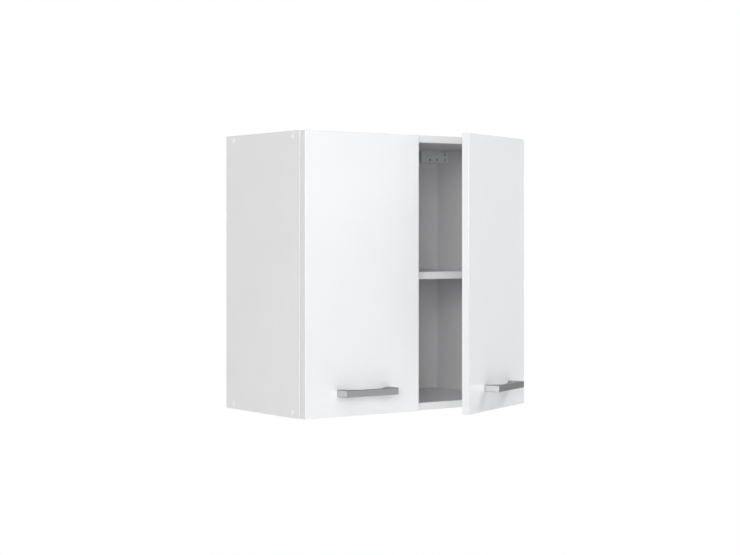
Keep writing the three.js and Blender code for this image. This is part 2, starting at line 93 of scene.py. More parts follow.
# Caps and shelf pins, with the angle in degrees at which a cap's rim meets its dome
CAP_RIM = 0.0004
CAP_RIM_END = 20
CAP_RIM_STEPS = 5
CAP_DOME_SHARE = 0.92
CAP_DOME_START = 0.0005
CAP_DOME_STEPS = 8
PIN_RADIUS = 0.0025
PIN_COLLAR_RADIUS = 0.004
PIN_COLLAR_FROM_WALL = 0.0003
PIN_COLLAR_THICKNESS = 0.0012
PIN_TIP_RADIUS = 0.0008
PIN_FLAT_CUT = 0.01

# Hinges
CUP_RADIUS = 0.0175
CUP_WALL = 0.0008
CUP_DEPTH = 0.0125
CUP_FILLET = 0.0025
CUP_FLANGE_RADIUS = 0.0182
CUP_FLANGE_THICKNESS = 0.0008
CUP_FLANGE_BEVEL = 0.0002
CUP_WING_HALF_WIDTH = 0.006
CUP_WING_CORNER = 0.0035
CUP_WING_OFFSET = 0.005
CUP_SCREW_SPACING = 0.048
CUP_SCREW_HOLE = 0.002
ARM_SHEET = 0.0016
ARM_NOSE_SHEET = 0.0014
ARM_NOSE_HALF_WIDTH = 0.004
ARM_CHEEK_SHEET = 0.0012
ARM_CHEEK_HEIGHT = 0.002
ARM_NOSE_LENGTH = 0.010
ARM_BEND_RADIUS = 0.0012
ARM_SCREW_HOLE = 0.0026
ARM_SCREWS_FROM_FRONT = (0.016, 0.048)
ARM_SCREW_SEAT_SHARE = 0.6
KNUCKLE_RADIUS = 0.0017
EYE_RADIUS = 0.0012
PLATE_CORE_HALF_WIDTH = 0.0048
PLATE_CORE_CORNER = 0.0025
PLATE_CORE_EDGE_RADIUS = 0.0004
PLATE_WING_HALF_LENGTH = 0.006
PLATE_WING_THICKNESS = 0.002
PLATE_WING_CORNER = 0.003
PLATE_WING_EDGE_RADIUS = 0.0003
PLATE_HOLE_SPACING = 0.032
PLATE_HOLE = 0.0026

# Hangers
HANGER_SHEET = 0.0015
HANGER_CORNER = 0.004
HANGER_FRONT_RADIUS = 0.0012
HANGER_ACCESS_RADIUS = 0.003
HANGER_ACCESS_FROM_SIDE = 0.016
HANGER_ACCESS_SPACING = 0.021
HANGER_ACCESS_DROP = 0.0225
HANGER_DEPTH = 0.020
HANGER_FLANGE_THICKNESS = 0.002
HANGER_FLANGE_DROP = 0.005
HANGER_FLANGE_HEIGHT = 0.023
HANGER_FLANGE_CORNER = 0.004
HANGER_FLANGE_SCREW_INSET = 0.014
HANGER_FLANGE_SCREW_DROP = 0.0045
HANGER_FLANGE_SCREW_SPACING = 0.0135
HANGER_FLANGE_HOLE = 0.0022
HOOK_SLOT_TOP_DROP = 0.004
HOOK_SLOT_BOTTOM_DROP = 0.028
HOOK_SLOT_HALF_WIDTH = 0.012
HOOK_SLOT_CORNER = 0.003
HOOK_PLATE_THICKNESS = 0.002
HOOK_PLATE_HEIGHT = 0.016
HOOK_PLATE_CORNER = 0.002
HOOK_ARM_DROP = 0.010
HOOK_ARM_WIDTH = 0.020
HOOK_ARM_HEIGHT = 0.012
HOOK_TOOTH_THICKNESS = 0.0025
HOOK_TOOTH_BEVEL = 0.0015
HOOK_BEND_RADIUS = 0.003
HOOK_EDGE_RADIUS = 0.0004

# Screws: the radius and height of the head, the radius of the shank and its length. A handle's screw
# is as long as its door and bore are deep.
HANDLE_SCREW = (0.004, 0.0022, 0.002)
CUP_SCREW = (0.0036, 0.0013, 0.0016, 0.012)
ARM_SCREW = (0.0024, 0.0014, 0.0018, 0.0035)
PLATE_SCREW = (0.0036, 0.0016, 0.0018, 0.014)
ACCESS_SCREW = (0.0025, 0.0009, 0.0012, 0.0002)
FLANGE_SCREW = (0.0034, 0.0015, 0.0018, 0.014)
HEAD_DOME_SHARE = 0.7
CROSS_WIDTH = 0.0009
CROSS_REACH_SHARE = 0.62
CROSS_DEPTH_SHARE = 0.75

# Smoothness of round shapes
ROUND = 64
SMALL_ROUND = 32
BEND_STEPS = 16
CORNER_STEPS = 6
FEW_STEPS = 4
SMOOTH_ANGLE = math.radians(40)
SHARP_ANGLE = math.radians(50)

# How much of a face's normal lies along an axis before the face counts as looking that way
FACING = 0.5
BAND_FACING = 0.1
DOOR_FRONT_FACING = 0.3
DOOR_REAR_FACING = 0.7
HANDLE_END_FACING = 0.9

# Camera
FOCAL_PIXELS = 1710.7
PICTURE_WIDTH = 740
PICTURE_HEIGHT = 555
HORIZON_ROW = 235.5
CAMERA_PLACE = (-2.2461, -3.2647, 0.0811)
CAMERA_YAW = math.radians(35.6)
SENSOR = 36
FAR_CLIP = 200

# Light: each lamp's power, size, azimuth from the front to the left, and elevation
AMBIENT = 0.33
LAMP_DISTANCE = 8.0
LAMPS = {
    "key": (264, 3.2, 44, 10),
    "high": (78, 4.8, 34, 50),
    "front": (88, 4.0, 0, 12),
    "right": (345, 4.0, -82, 40),
}

# The mirrored surroundings: their level, how it rises to the left, and how it fades overhead
MIRRORED_MEAN = 0.92
MIRRORED_LEFT_GAIN = 0.54
MIRRORED_OVERHEAD = 0.15
OVERHEAD_FADE = (0.15, 0.75)

# The floor: how far from the middle its fade to white starts and ends, and the share it starts with
FLOOR_HEIGHT = -1.0
FLOOR_SIZE = 30.0
FLOOR_FADE = (0.7, 1.9)
FLOOR_FADE_START = 0.35

LEAF_LOW, LEAF_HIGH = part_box("left_door_leaf")
PANEL_LOW, PANEL_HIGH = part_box("left_side_panel")
BACK_LOW, BACK_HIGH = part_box("back_panel")
SHELF_LOW, SHELF_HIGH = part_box("shelf")
DOOR_EDGE = -LEAF_LOW.x
DOOR_WIDTH = LEAF_HIGH.x - LEAF_LOW.x
DOOR_FRONT = LEAF_LOW.y
DOOR_REAR = LEAF_HIGH.y
DOOR_THICKNESS = DOOR_REAR - DOOR_FRONT
HALF_WIDTH = -PANEL_LOW.x
INNER_HALF_WIDTH = -PANEL_HIGH.x
HALF_HEIGHT = PANEL_HIGH.z
BOARD = HALF_WIDTH - INNER_HALF_WIDTH
INNER_HALF_HEIGHT = HALF_HEIGHT - BOARD
CARCASS_FRONT = PANEL_LOW.y


# Mesh helpers

def arc(centre, radius, start, stop, steps=CORNER_STEPS):
    """Points of an arc between two angles in degrees, both ends included."""
    points = []
    for i in range(steps + 1):
        angle = math.radians(start + (stop - start) * i / steps)
        points.append((centre[0] + radius * math.cos(angle), centre[1] + radius * math.sin(angle)))
    return points


def rounded_outline(low, high, radius):
    """A rectangle between two corners with round corners."""
    centres = (
        ((high[0] - radius, high[1] - radius), 0),
        ((low[0] + radius, high[1] - radius), 90),
        ((low[0] + radius, low[1] + radius), 180),
        ((high[0] - radius, low[1] + radius), 270),
    )
    return [p for centre, start in centres for p in arc(centre, radius, start, start + 90)]


def prism(outline, a, b, axis):
    """An outline drawn out along one axis between a and b. Its points are the other two coordinates."""
    bm = bmesh.new()
    rings = []
    for height in sorted((a, b)):
        ring = []
        for point in outline:
            place = list(point)
            place.insert(axis, height)
            ring.append(bm.verts.new(place))
        rings.append(ring)
    count = len(outline)
    bm.faces.new(rings[0])
    bm.faces.new(rings[1])
    for i in range(count):
        j = (i + 1) % count
        bm.faces.new((rings[0][i], rings[0][j], rings[1][j], rings[1][i]))
    bmesh.ops.recalc_face_normals(bm, faces=bm.faces)
    return bm


def box(a, b):
    """A block between two opposite corners, given in any order."""
    low = [min(p, q) for p, q in zip(a, b)]
    high = [max(p, q) for p, q in zip(a, b)]
    outline = [(low[0], low[1]), (high[0], low[1]), (high[0], high[1]), (low[0], high[1])]
    return prism(outline, low[2], high[2], 2)


def turn_to(direction):
    """The turn that points the Z axis in a direction."""
    return Vector((0, 0, 1)).rotation_difference(Vector(direction).normalized()).to_matrix()


def lathe(profile, origin, direction, steps=ROUND):
    """A solid of revolution. Its profile is (radius, distance) points from the axis back to the axis."""
    turn = turn_to(direction)
    bm = bmesh.new()
    rings = []
    for radius, along in profile:
        angles = [0.0] if radius == 0 else [2 * math.pi * i / steps for i in range(steps)]
        places = [Vector((radius * math.cos(t), radius * math.sin(t), along)) for t in angles]
        rings.append([bm.verts.new(turn @ p + Vector(origin)) for p in places])
    for near, far in zip(rings, rings[1:]):
        for i in range(steps):
            j = (i + 1) % steps
            corners = [near[i % len(near)], near[j % len(near)], far[j % len(far)], far[i % len(far)]]
            corners = list(dict.fromkeys(corners))
            if len(corners) > 2:
                bm.faces.new(corners)
    bmesh.ops.recalc_face_normals(bm, faces=bm.faces)
    return bm


def rod(axis, radius, low, high, through, steps=SMALL_ROUND):
    """A round bar along an axis, between two values on it, through a point."""
    start = list(through)
    start[axis] = min(low, high)
    direction = [1 if i == axis else 0 for i in range(3)]
    length = abs(high - low)
    return lathe([(0, 0), (radius, 0), (radius, length), (0, length)], start, direction, steps)


def soften(bm, radius, steps=2, where=None):
    """Rounds the sharp edges, or those of them that a test picks."""
    edges = [
        e for e in bm.edges
        if len(e.link_faces) == 2 and e.calc_face_angle() > SHARP_ANGLE and (where is None or where(e))
    ]
    bmesh.ops.bevel(
        bm, geom=edges, offset=radius, offset_type="OFFSET", segments=steps, profile=0.5,
        affect="EDGES", clamp_overlap=True,
    )
    return bm


def new_object(name, data):
    """A new object in the scene."""
    obj = bpy.data.objects.new(name, data)
    bpy.context.scene.collection.objects.link(obj)
    return obj


def loose_object(bm):
    """An object of a mesh, for as long as a boolean step needs it."""
    mesh = bpy.data.meshes.new("loose")
    bm.to_mesh(mesh)
    bm.free()
    return new_object("loose", mesh)


def combined(bm, others, operation):
    """Joins other solids to one, or cuts them from it."""
    base = loose_object(bm)
    tools = [loose_object(other) for other in others]
    for tool in tools:
        step = base.modifiers.new("step", "BOOLEAN")
        step.operation = operation
        step.solver = "EXACT"
        step.object = tool
    result = bmesh.new()
    depsgraph = bpy.context.evaluated_depsgraph_get()
    evaluated = base.evaluated_get(depsgraph)
    result.from_mesh(evaluated.to_mesh())
    evaluated.to_mesh_clear()
    for obj in [base, *tools]:
        mesh = obj.data
        bpy.data.objects.remove(obj)
        bpy.data.meshes.remove(mesh)
    bmesh.ops.remove_doubles(result, verts=result.verts, dist=1e-7)
    return result


def cut(bm, tools):
    return combined(bm, tools, "DIFFERENCE")


def join(solids):
    return combined(solids[0], solids[1:], "UNION")


def merge(meshes):
    """Puts separate solids that don't touch into one mesh."""
    whole = bmesh.new()
    for bm in meshes:
        part = bpy.data.meshes.new("part")
        bm.to_mesh(part)
        bm.free()
        whole.from_mesh(part)
        bpy.data.meshes.remove(part)
    return whole


# Doors and their joints

def door_turn(name):
    """The turn that takes a shut door to where it stands at rest."""
    joint = next(j for j in frame["joints"] if j["name"] == f"{name}_door_hinge")
    pivot = Matrix.Translation(joint["pos_m"])
    angle = -math.radians(joint["range_deg"][0]) * joint["axis"][2]
    return pivot @ Matrix.Rotation(angle, 4, "Z") @ pivot.inverted()


def door_point(side, inward, forward, height):
    """A place on a shut door, measured from its outer rear edge."""
    return Vector((side * (DOOR_EDGE - inward), DOOR_REAR - forward, height))


def inward_x(side, inward):
    """An X value, measured inward from the inner face of a side panel."""
    return side * (INNER_HALF_WIDTH - inward)


# Pieces

def add_piece(name, bm, body, materials, replaces=(), place=None, pick=None):
    """Makes a piece of a mesh, with one material or with several that pick chooses face by face."""
    mesh = bpy.data.meshes.new(name)
    for material in materials:
        mesh.materials.append(material)
    if pick:
        bm.normal_update()
        for face in bm.faces:
            face.material_index = pick(face)
    bm.to_mesh(mesh)
    bm.free()
    mesh.shade_smooth()
    mesh.set_sharp_from_angle(angle=SMOOTH_ANGLE)
    obj = new_object(name, mesh)
    if place:
        obj.matrix_world = place
    normals = obj.modifiers.new("even normals", "WEIGHTED_NORMAL")
    normals.keep_sharp = True
    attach(obj, body)
    if replaces:
        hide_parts(*replaces)
    return obj


def screw_mesh(origin, direction, head_radius, head_height, shank_radius, length):
    """A screw whose head rises from its origin and whose shank runs the other way, with a cross recess."""
    ball = head_height * HEAD_DOME_SHARE
    dome = arc((head_radius - ball, head_height - ball), ball, 90, 0)
    profile = [(0, head_height)] + dome + [(head_radius, 0), (shank_radius, 0)]
    profile += [(shank_radius, -length), (0, -length)]
    body = lathe(profile, origin, direction, SMALL_ROUND)
    place = Matrix.Translation(origin) @ turn_to(direction).to_4x4()
    reach = head_radius * CROSS_REACH_SHARE
    floor = head_height * (1 - CROSS_DEPTH_SHARE)
    bars = []
    for x, y in ((reach, CROSS_WIDTH / 2), (CROSS_WIDTH / 2, reach)):
        bar = box((-x, -y, floor), (x, y, head_height + CUT_OVERRUN))
        bmesh.ops.transform(bar, matrix=place, verts=bar.verts)
        bars.append(bar)
    return cut(body, bars)


def screw_set(origins, direction, size):
    """Equal screws that point the same way, as one mesh."""
    return merge([screw_mesh(origin, direction, *size) for origin in origins])


# Materials

class Shading:
    """A material's node tree, with short calls to add and link nodes."""

    def __init__(self, name):
        self.material = bpy.data.materials.new(name)
        self.material.use_nodes = True
        self.tree = self.material.node_tree
        self.tree.nodes.clear()
        self.output = self.tree.nodes.new("ShaderNodeOutputMaterial")
        self.place = self.add("ShaderNodeTexCoord").outputs["Object"]

    @classmethod
    def of_tree(cls, tree):
        """The same short calls for a node tree that isn't a material's."""
        shading = cls.__new__(cls)
        shading.tree = tree
        tree.nodes.clear()
        return shading

    def put(self, socket, value):
        """Links an input to another node's output, or sets its value."""
        if isinstance(value, bpy.types.NodeSocket):
            self.tree.links.new(value, socket)
        else:
            socket.default_value = value

    def add(self, kind, inputs=None, **settings):
        node = self.tree.nodes.new(kind)
        for key, value in settings.items():
            setattr(node, key, value)
        for key, value in (inputs or {}).items():
            self.put(node.inputs[key], value)
        return node

    def mapped(self, scale):
        return self.add("ShaderNodeMapping", {"Vector": self.place, "Scale": scale}).outputs[0]

    def noise(self, scale, detail=3.0, roughness=0.5, vector=None, distortion=0.0):
        inputs = {"Vector": vector or self.place, "Scale": scale, "Detail": detail,
                  "Roughness": roughness, "Distortion": distortion}
        return self.add("ShaderNodeTexNoise", inputs).outputs[0]

    def ramp(self, value, low, high, start=0.0, stop=1.0):
        inputs = {"Value": value, "From Min": start, "From Max": stop, "To Min": low, "To Max": high}
        return self.add("ShaderNodeMapRange", inputs, clamp=True).outputs[0]

    def math(self, operation, a, b=0.0, c=0.0):
        return self.add("ShaderNodeMath", {0: a, 1: b, 2: c}, operation=operation).outputs[0]

    def mix(self, factor, a, b):
        """A colour between two others. The node has sockets for other types too, which stay unused."""
        node = self.add("ShaderNodeMix", data_type="RGBA", clamp_factor=True)
        sockets = [node.inputs[0]] + [s for s in node.inputs if s.type == "RGBA"]
        for socket, value in zip(sockets, (factor, a, b)):
            self.put(socket, value)
        return next(s for s in node.outputs if s.type == "RGBA")

    def blend(self, value, start, stop, a, b, most=1.0):
        """A colour that goes from one to another while a value goes from start to stop."""
        return self.mix(self.ramp(value, 0.0, most, start, stop), a, b)

    def seam(self, tone, depth, half_width, strength, color):
        """A thin line of another colour at one depth of the cabinet."""
        here = self.add("ShaderNodeSeparateXYZ", {"Vector": self.place}).outputs[1]
        line = self.math("COMPARE", here, depth, half_width)
        return self.mix(self.math("MULTIPLY", line, strength), tone, color)

    def bump(self, height, distance, strength=1.0, normal=None):
        inputs = {"Height": height, "Distance": distance, "Strength": strength}
        if normal:
            inputs["Normal"] = normal
        return self.add("ShaderNodeBump", inputs).outputs[0]

    def surface(self, color, roughness, normal, more=None):
        inputs = {"Base Color": color, "Roughness": roughness, "Normal": normal, **(more or {})}
        shader = self.add("ShaderNodeBsdfPrincipled", inputs)
        self.tree.links.new(shader.outputs[0], self.output.inputs["Surface"])
        return self.material


def rgb(r, g, b):
    return (r, g, b, 1.0)


def shade(color, share):
    return rgb(*(c * share for c in color[:3]))


def melamine(name, color, front=None):
    """White melamine: a fine pearl grain, faint mottling, and a seam just behind a banded front edge."""
    s = Shading(name)
    cloud = s.noise(9.0, 4.0, 0.55)
    speckle = s.noise(1400.0, 2.0, 0.6)
    tone = s.blend(cloud, 0.3, 0.7, shade(color, 0.985), shade(color, 1.012))
    tone = s.blend(speckle, 0.45, 0.75, tone, shade(color, 0.93), 0.35)
    if front is not None:
        tone = s.seam(tone, front + BAND_THICKNESS, BAND_SEAM_HALF_WIDTH, 0.6, shade(color, 0.45))
    pearl = s.noise(1100.0, 3.0, 0.5)
    ripple = s.noise(60.0, 2.0, 0.5)
    normal = s.bump(pearl, 0.00004, 0.5)
    normal = s.bump(ripple, 0.0002, 0.15, normal)
    return s.surface(tone, s.ramp(pearl, 0.36, 0.5, 0.3, 0.7), normal)


def edge_band(name, color, seam_place=None):
    """The thin plastic band on an edge: smoother than the faces, with faint draw lines.

    A seam place is the depth at which a darker line runs along the edge.
    """
    s = Shading(name)
    lines = s.noise(900.0, 2.0, 0.5, s.mapped((1.0, 1.0, 0.02)))
    tone = s.blend(lines, 0.35, 0.65, shade(color, 0.975), color)
    if seam_place is not None:
        tone = s.seam(tone, seam_place, DOOR_SEAM_HALF_WIDTH, 0.5, shade(color, 0.72))
    return s.surface(tone, s.ramp(lines, 0.3, 0.4, 0.3, 0.7), s.bump(lines, 0.00003, 0.4))


def chipboard(name):
    """The raw rear edge of a board: pressed wood chips in several browns, with small pores."""
    s = Shading(name)
    chips = s.add("ShaderNodeTexVoronoi", {"Vector": s.place, "Scale": 620.0})
    tint = s.add("ShaderNodeSeparateColor", {"Color": chips.outputs["Color"]}).outputs[0]
    grain = s.noise(2600.0, 4.0, 0.6)
    tone = s.mix(tint, rgb(0.36, 0.245, 0.14), rgb(0.62, 0.47, 0.30))
    tone = s.blend(grain, 0.5, 0.8, tone, rgb(0.22, 0.14, 0.08), 0.6)
    height = s.math("ADD", s.math("MULTIPLY", chips.outputs["Distance"], 0.6), grain)
    return s.surface(tone, s.ramp(grain, 0.75, 0.95), s.bump(height, 0.0003, 0.6))


def hardboard(name):
    """The unpainted rear of the back panel: brown pressed fibre with darker flecks."""
    s = Shading(name)
    fibre = s.noise(420.0, 6.0, 0.65, None, 1.5)
    cloud = s.noise(14.0, 4.0, 0.6)
    tone = s.blend(fibre, 0.3, 0.7, rgb(0.24, 0.145, 0.075), rgb(0.40, 0.27, 0.155))
    tone = s.blend(cloud, 0.35, 0.7, tone, rgb(0.21, 0.125, 0.065), 0.35)
    return s.surface(tone, s.ramp(fibre, 0.6, 0.85), s.bump(fibre, 0.0002, 0.5))


def gloss(name, color):
    """High-gloss foil: a clear top over an even white, with the faint waviness of pressed foil."""
    s = Shading(name)
    wave = s.noise(26.0, 2.0, 0.4)
    peel = s.noise(420.0, 2.0, 0.5)
    haze = s.noise(5.0, 5.0, 0.6)
    tone = s.blend(haze, 0.35, 0.65, shade(color, 0.99), shade(color, 1.006))
    normal = s.bump(wave, 0.0004, 0.10)
    normal = s.bump(peel, 0.00002, 0.25, normal)
    clear = {"Coat Weight": 0.5, "Coat Roughness": 0.03}
    return s.surface(tone, s.ramp(haze, 0.07, 0.15, 0.3, 0.75), normal, clear)


def satin_metal(name, color, smooth=0.30, rough=0.42):
    """A brushed and lacquered grey metal whose fine lines run along the handle."""
    s = Shading(name)
    lines = s.noise(1500.0, 4.0, 0.6, s.mapped((0.03, 1.0, 1.0)))
    broad = s.noise(40.0, 3.0, 0.5, s.mapped((0.2, 1.0, 1.0)))
    tone = s.blend(lines, 0.3, 0.7, shade(color, 0.94), shade(color, 1.06))
    tone = s.blend(broad, 0.4, 0.7, tone, shade(color, 0.85), 0.2)
    roughness = s.ramp(lines, smooth, rough, 0.3, 0.7)
    return s.surface(tone, roughness, s.bump(lines, 0.00002, 0.5), {"Metallic": 1.0})


def plated_steel(name, color, low, high, scale):
    """Plated sheet steel: a soft shine with blotches and fine scratches."""
    s = Shading(name)
    blotch = s.noise(scale, 5.0, 0.6)
    scratches = s.noise(2200.0, 3.0, 0.7, s.mapped((1.0, 0.05, 1.0)))
    tone = s.blend(blotch, 0.3, 0.7, shade(color, 0.9), shade(color, 1.05))
    wear = s.math("MULTIPLY_ADD", scratches, 0.3, blotch)
    roughness = s.ramp(wear, low, high, 0.4, 1.0)
    return s.surface(tone, roughness, s.bump(scratches, 0.00001, 0.4), {"Metallic": 1.0})


def galvanised(name, color):
    """Pale dip-galvanised steel: matt, with a faint crystal pattern."""
    s = Shading(name)
    flakes = s.add("ShaderNodeTexVoronoi", {"Vector": s.place, "Scale": 240.0})
    tint = s.add("ShaderNodeSeparateColor", {"Color": flakes.outputs["Color"]}).outputs[0]
    cloud = s.noise(300.0, 4.0, 0.6)
    tone = s.mix(tint, shade(color, 0.95), shade(color, 1.04))
    tone = s.blend(cloud, 0.4, 0.8, tone, shade(color, 0.9), 0.4)
    roughness = s.ramp(cloud, 0.42, 0.6, 0.3, 0.7)
    return s.surface(tone, roughness, s.bump(cloud, 0.00002, 0.4), {"Metallic": 0.1})


def moulded_plastic(name, color):
    """White moulded plastic with a fine eroded texture."""
    s = Shading(name)
    grain = s.noise(2400.0, 3.0, 0.6)
    cloud = s.noise(120.0, 2.0, 0.5)
    tone = s.blend(cloud, 0.3, 0.7, shade(color, 0.97), color)
    return s.surface(tone, s.ramp(grain, 0.38, 0.52, 0.3, 0.7), s.bump(grain, 0.00003, 0.4))


def soft_clear(name):
    """Clear soft plastic, a little milky."""
    s = Shading(name)
    milk = s.noise(700.0, 3.0, 0.6)
    tone = s.blend(milk, 0.3, 0.7, rgb(0.78, 0.80, 0.80), rgb(0.88, 0.90, 0.90))
    clear = {"Transmission Weight": 0.6, "IOR": 1.45}
    return s.surface(tone, s.ramp(milk, 0.15, 0.35, 0.3, 0.7), s.bump(milk, 0.00003, 0.3), clear)


BOARD_COLOR = rgb(0.85, 0.85, 0.86)
CARCASS_WHITE = melamine("carcass_melamine", BOARD_COLOR, CARCASS_FRONT)
SHELF_WHITE = melamine("shelf_melamine", BOARD_COLOR, SHELF_LOW.y)
PLAIN_WHITE = melamine("back_print", rgb(0.86, 0.86, 0.865))
DOOR_REAR_WHITE = melamine("door_rear_melamine", BOARD_COLOR)
BAND = edge_band("edge_band", rgb(0.85, 0.85, 0.855))
# The shelf's band is a lighter copy of the edge band: painted light on the shaded shelf edge
SHELF_BAND_PAINTED_LIGHT = edge_band("shelf_band_painted_light", rgb(0.92, 0.92, 0.925))
DOOR_BAND = edge_band("door_band", rgb(0.80, 0.80, 0.81), DOOR_FRONT + DOOR_SEAM_FROM_FRONT)
CHIPS = chipboard("raw_chipboard")
FIBRE = hardboard("raw_hardboard")
GLOSS = gloss("gloss_foil", rgb(0.86, 0.868, 0.878))
HANDLE_METAL = satin_metal("satin_grey_metal", rgb(0.505, 0.51, 0.515))
# A darker copy of the handle metal for the top and bottom faces: painted shade
HANDLE_PAINTED_SHADE = satin_metal("painted_shade_grey_metal", rgb(0.20, 0.203, 0.206))
# A rougher, lighter copy of the handle metal for the ends: the matt finish is real, the lighter grey is a
# painted highlight
HANDLE_END_PAINTED_HIGHLIGHT = satin_metal("matt_grey_metal_painted_highlight", rgb(0.595, 0.60, 0.605), 0.6, 0.7)
NICKEL = plated_steel("nickel_plate", rgb(0.66, 0.65, 0.63), 0.16, 0.34, 90.0)
ZINC = plated_steel("zinc_plate", rgb(0.62, 0.64, 0.66), 0.30, 0.50, 160.0)
DARK_STEEL = plated_steel("dark_steel", rgb(0.45, 0.45, 0.455), 0.35, 0.55, 160.0)
PALE_STEEL = plated_steel("pale_steel", rgb(0.66, 0.66, 0.665), 0.35, 0.55, 160.0)
PALE_ZINC = galvanised("pale_zinc", rgb(0.91, 0.92, 0.93))
# A lighter copy of the pale zinc for the hanger's flange: painted light, since the flange catches more
# light than the case
FLANGE_PAINTED_LIGHT_ZINC = galvanised("flange_zinc_painted_light", rgb(0.98, 0.98, 0.99))
CAP_PLASTIC = moulded_plastic("cap_plastic", rgb(0.96, 0.96, 0.96))
CLEAR = soft_clear("clear_soft_plastic")


# Boards

def board_outline(low, high, rear, front):
    """A board seen on its edge, across its thickness and its depth: square behind, round in front."""
    r = BAND_RADIUS
    outline = [(high, rear), (low, rear)]
    outline += arc((low + r, front + r), r, 180, 270)
    outline += arc((high - r, front + r), r, 270, 360)
    return outline


def back_groove():
    """The block of the back panel's groove, which is cut from the boards round it."""
    reach = GROOVE_DEPTH
    return box(
        (-INNER_HALF_WIDTH - reach, BACK_LOW.y - SEAT_GAP, -INNER_HALF_HEIGHT - reach),
        (INNER_HALF_WIDTH + reach, BACK_HIGH.y + SEAT_GAP, INNER_HALF_HEIGHT + reach),
    )


def board_face(front, rear):
    """Chooses band, raw chipboard or melamine by where a face of a board lies."""
    def pick(face):
        middle = face.calc_center_median()
        if middle.y < front + BAND_THICKNESS and face.normal.y < -BAND_FACING:
            return 1
        if middle.y > rear - NEAR_PLANE and face.normal.y > FACING:
            return 2
        return 0
    return pick


def screw_places():
    """The middle of each left cap, which gives the height and depth of the case screws."""
    places = {}
    for end in ENDS:
        for row in ("front", "rear"):
            low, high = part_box(f"left_{end}_{row}_screw_cap")
            places[f"{end}_{row}"] = (low + high) / 2
    return places


def pin_places():
    """The depth and height of the shelf pins."""
    places = {}
    for row in ("front", "rear"):
        low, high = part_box(f"left_{row}_shelf_pin")
        places[row] = Vector((0, (low.y + high.y) / 2, low.z + PIN_COLLAR_RADIUS))
    return places


def add_board(name, bm, node):
    """A board of the case, banded in front and raw behind."""
    add_piece(name, bm, "carcass", [CARCASS_WHITE, BAND, CHIPS], [node],
              pick=board_face(CARCASS_FRONT, 0))


def add_side_boards():
    """The side panels, with bores for the case screws and the shelf pins and a groove for the back."""
    for name, side in SIDES.items():
        xs = sorted((side * HALF_WIDTH, side * INNER_HALF_WIDTH))
        panel = prism(board_outline(*xs, 0, CARCASS_FRONT), -HALF_HEIGHT, HALF_HEIGHT, 2)
        inside = side * (INNER_HALF_WIDTH - CUT_OVERRUN)
        outside = side * (HALF_WIDTH + CUT_OVERRUN)
        sink = side * (HALF_WIDTH - SCREW_HEAD_SINK)
        pin_floor = side * (INNER_HALF_WIDTH + PIN_HOLE_DEPTH)
        tools = [back_groove()]
        for spot in screw_places().values():
            tools.append(rod(0, SCREW_NECK_HOLE, inside, outside, spot))
            tools.append(rod(0, SCREW_HEAD_HOLE, sink, outside, spot))
        for spot in pin_places().values():
            tools.append(rod(0, PIN_HOLE_RADIUS, inside, pin_floor, spot))
        add_board(f"{name}_side_board", cut(panel, tools), f"{name}_side_panel")


def add_cross_boards():
    """The top and bottom boards, with bores for the case screws and a groove for the back."""
    for node, end in (("top_board", 1), ("bottom_board", -1)):
        zs = sorted((end * HALF_HEIGHT, end * INNER_HALF_HEIGHT))
        outline = [(y, z) for z, y in board_outline(*zs, 0, CARCASS_FRONT)]
        board = prism(outline, -INNER_HALF_WIDTH, INNER_HALF_WIDTH, 0)
        spots = [spot for spot in screw_places().values() if spot.z * end > 0]
        tools = [back_groove()]
        for side in SIDES.values():
            start, stop = inward_x(side, SCREW_HOLE_DEPTH), inward_x(side, -CUT_OVERRUN)
            tools += [rod(0, SCREW_THREAD_HOLE, start, stop, spot) for spot in spots]
        add_board(f"{node}_panel", cut(board, tools), node)


def add_shelf():
    """The loose shelf, banded in front and raw behind."""
    outline = board_outline(SHELF_LOW.z, SHELF_HIGH.z, SHELF_HIGH.y, SHELF_LOW.y)
    shelf = prism([(y, z) for z, y in outline], SHELF_LOW.x, SHELF_HIGH.x, 0)
    add_piece("loose_shelf", shelf, "carcass", [SHELF_WHITE, SHELF_BAND_PAINTED_LIGHT, CHIPS], ["shelf"],
              pick=board_face(SHELF_LOW.y, SHELF_HIGH.y))


def add_back():
    """The back panel, white inside and raw outside, with a rounded slot for each hook."""
    panel = box(BACK_LOW, BACK_HIGH)
    slots = []
    for name in SIDES:
        low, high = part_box(f"{name}_hanger_hook")
        middle = (low.x + high.x) / 2
        top = INNER_HALF_HEIGHT - HOOK_SLOT_TOP_DROP
        bottom = INNER_HALF_HEIGHT - HOOK_SLOT_BOTTOM_DROP
        half = HOOK_SLOT_HALF_WIDTH
        outline = rounded_outline((middle - half, bottom), (middle + half, top), HOOK_SLOT_CORNER)
        slots.append(prism(outline, BACK_LOW.y - CUT_OVERRUN, BACK_HIGH.y + CUT_OVERRUN, 1))
    add_piece("back_hardboard", cut(panel, slots), "carcass", [PLAIN_WHITE, FIBRE],
              ["back_panel"], pick=lambda face: 0 if face.normal.y < -FACING else 1)


def add_caps():
    """Covers over the case screws: a thin rounded rim with a shallow dome on it."""
    for name, side in SIDES.items():
        for place, spot in screw_places().items():
            node = f"{name}_{place}_screw_cap"
            low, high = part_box(node)
            radius = (high.y - low.y) / 2
            crown = high.x - low.x
            base = radius * CAP_DOME_SHARE
            rise = crown - CAP_DOME_START
            ball = (base * base + rise * rise) / (2 * rise)
            edge = math.degrees(math.acos(base / ball))
            rim = arc((radius - CAP_RIM, CAP_RIM), CAP_RIM, -90, CAP_RIM_END, CAP_RIM_STEPS)
            dome = arc((0, crown - ball), ball, edge, 90, CAP_DOME_STEPS)[:-1]
            profile = [(0, 0)] + rim + dome + [(0, crown)]
            origin = (side * HALF_WIDTH, spot.y, spot.z)
            add_piece(f"{name}_{place}_cover_cap", lathe(profile, origin, (side, 0, 0)), "carcass",
                      [CAP_PLASTIC], [node])


